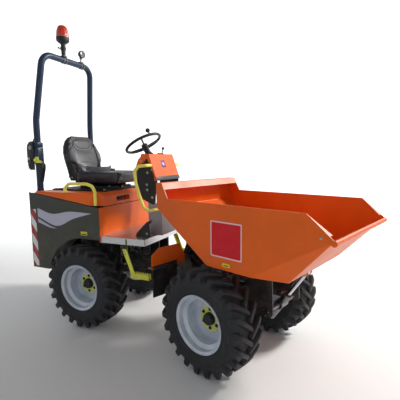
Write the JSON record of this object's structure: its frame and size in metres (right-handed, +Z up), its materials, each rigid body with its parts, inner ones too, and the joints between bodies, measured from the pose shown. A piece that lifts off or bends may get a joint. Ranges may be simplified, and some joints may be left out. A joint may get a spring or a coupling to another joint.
{
  "type": "articulated site dumper",
  "caption": "Ride-on articulated site dumper with a forward-tipping skip, folding roll bar, lifting engine cover with the seat, and deep-lugged tyres.",
  "frame": {"origin": "on the ground, at the centre of the whole machine's box as it stands with the front half turned 18 degrees right", "axes": "+X forward along the rear half, +Y to the operator's left, +Z up"},
  "size_m": [3.1305, 1.4901, 2.8499],
  "materials": {
    "orange_paint": "gloss powder coat",
    "charcoal_paint": "satin paint",
    "black_paint": "semi-gloss paint",
    "grey_paint": "satin paint",
    "yellow_paint": "gloss paint",
    "rim_paint": "satin silver paint",
    "tyre_rubber": "dusty rubber",
    "flap_rubber": "dull rubber",
    "tread_plate": "brushed",
    "ram_chrome": "polished",
    "ram_steel": "satin",
    "seat_vinyl": "grained vinyl",
    "black_plastic": "moulded",
    "beacon_lens": "translucent red",
    "engine_iron": "cast"
  },
  "bodies": {
    "rear_frame": {"rear_chassis": "black_paint", "tow_hitch": "black_paint", "rear_axle": "black_paint", "engine_block": "engine_iron", "side_panel_left": "charcoal_paint", "side_panel_right": "charcoal_paint", "tail_panel": "charcoal_paint", "seat_box": "orange_paint", "footplate": "tread_plate", "step_left": "yellow_paint", "step_right": "yellow_paint", "console_post": "grey_paint", "console_plates": "black_paint", "console_hood": "orange_paint", "steering_column": "black_plastic", "dash_rails": "yellow_paint", "pedals": "black_paint", "roll_bar_posts": "black_paint"},
    "cover": {"engine_cover": "orange_paint", "cover_rails": "yellow_paint", "seat_base": "black_plastic", "seat_cushion": "seat_vinyl", "seat_back": "seat_vinyl"},
    "roll_bar": {"roll_bar_hoop": "black_paint", "beacon": "beacon_lens", "work_lamp": "black_plastic"},
    "steering_wheel": {"steering_wheel": "black_plastic"},
    "yoke": {"centre_yoke": "black_paint"},
    "front_frame": {"front_chassis": "black_paint", "front_axle": "black_paint", "mudguards": "orange_paint", "mud_flaps": "flap_rubber"},
    "skip": {"skip": "orange_paint"},
    "tip_barrel": {"tip_ram_barrel": "ram_steel"},
    "tip_rod": {"tip_ram_rod": "ram_chrome"},
    "steer_barrel": {"steer_ram_barrel": "black_paint"},
    "steer_rod": {"steer_ram_rod": "ram_chrome"},
    "wheel_rear_left": {"tyre_rear_left": "tyre_rubber", "rim_rear_left": "rim_paint"},
    "wheel_rear_right": {"tyre_rear_right": "tyre_rubber", "rim_rear_right": "rim_paint"},
    "wheel_front_left": {"tyre_front_left": "tyre_rubber", "rim_front_left": "rim_paint"},
    "wheel_front_right": {"tyre_front_right": "tyre_rubber", "rim_front_right": "rim_paint"}
  },
  "joints": [
    {"name": "steer", "type": "hinge", "parent": "rear_frame", "child": "yoke", "pos_m": [-0.12727, 0.19406, 0.475], "axis": [0, 0, 1], "range_deg": [-15, 51]},
    {"name": "axle_roll", "type": "hinge", "parent": "yoke", "child": "front_frame", "pos_m": [0.01538, 0.14771, 0.475], "axis": [0.9511, -0.309, 0], "range_deg": [-10, 10]},
    {"name": "skip_tip", "type": "hinge", "parent": "front_frame", "child": "skip", "pos_m": [0.89036, -0.13659, 0.735], "axis": [0.309, 0.9511, 0], "range_deg": [0, 65]},
    {"name": "tip_ram_swing", "type": "hinge", "parent": "front_frame", "child": "tip_barrel", "pos_m": [0.89226, -0.13721, 0.462], "axis": [0.309, 0.9511, 0], "range_deg": [-1, 11]},
    {"name": "tip_ram_slide", "type": "slide", "parent": "tip_barrel", "child": "tip_rod", "axis": [0.5393, -0.1752, 0.8237], "range_m": [-0.208, 0.001]},
    {"name": "steer_ram_swing", "type": "hinge", "parent": "rear_frame", "child": "steer_barrel", "pos_m": [-0.54727, 0.36406, 0.475], "axis": [0, 0, 1], "range_deg": [-2, 5]},
    {"name": "steer_ram_slide", "type": "slide", "parent": "steer_barrel", "child": "steer_rod", "axis": [0.9962, -0.0873, 0], "range_m": [-0.135, 0.041]},
    {"name": "steering_turn", "type": "hinge", "parent": "rear_frame", "child": "steering_wheel", "pos_m": [-0.48827, 0.19406, 1.665], "axis": [-0.4909, 0, 0.8712], "continuous": true},
    {"name": "cover_lift", "type": "hinge", "parent": "rear_frame", "child": "cover", "pos_m": [-1.41727, 0.19406, 1.214], "axis": [0, -1, 0], "range_deg": [0, 50]},
    {"name": "roll_bar_fold", "type": "hinge", "parent": "rear_frame", "child": "roll_bar", "pos_m": [-1.51127, 0.19406, 1.637], "axis": [0, 1, 0], "range_deg": [-100, 0]},
    {"name": "spin_rear_left", "type": "hinge", "parent": "rear_frame", "child": "wheel_rear_left", "pos_m": [-0.85977, 0.61606, 0.38], "axis": [0, 1, 0], "continuous": true},
    {"name": "spin_rear_right", "type": "hinge", "parent": "rear_frame", "child": "wheel_rear_right", "pos_m": [-0.85977, -0.22794, 0.38], "axis": [0, 1, 0], "continuous": true},
    {"name": "spin_front_left", "type": "hinge", "parent": "front_frame", "child": "wheel_front_left", "pos_m": [0.69978, 0.36905, 0.38], "axis": [0.309, 0.9511, 0], "continuous": true},
    {"name": "spin_front_right", "type": "hinge", "parent": "front_frame", "child": "wheel_front_right", "pos_m": [0.43897, -0.43364, 0.38], "axis": [0.309, 0.9511, 0], "continuous": true}
  ],
  "couplings": [
    {"joint": "tip_ram_swing", "follows": "skip_tip", "ratio": 0.15},
    {"joint": "tip_ram_slide", "follows": "skip_tip", "m_per_rad": -0.18141},
    {"joint": "steer_ram_swing", "follows": "steer", "ratio": 0.09},
    {"joint": "steer_ram_slide", "follows": "steer", "m_per_rad": -0.149}
  ]
}
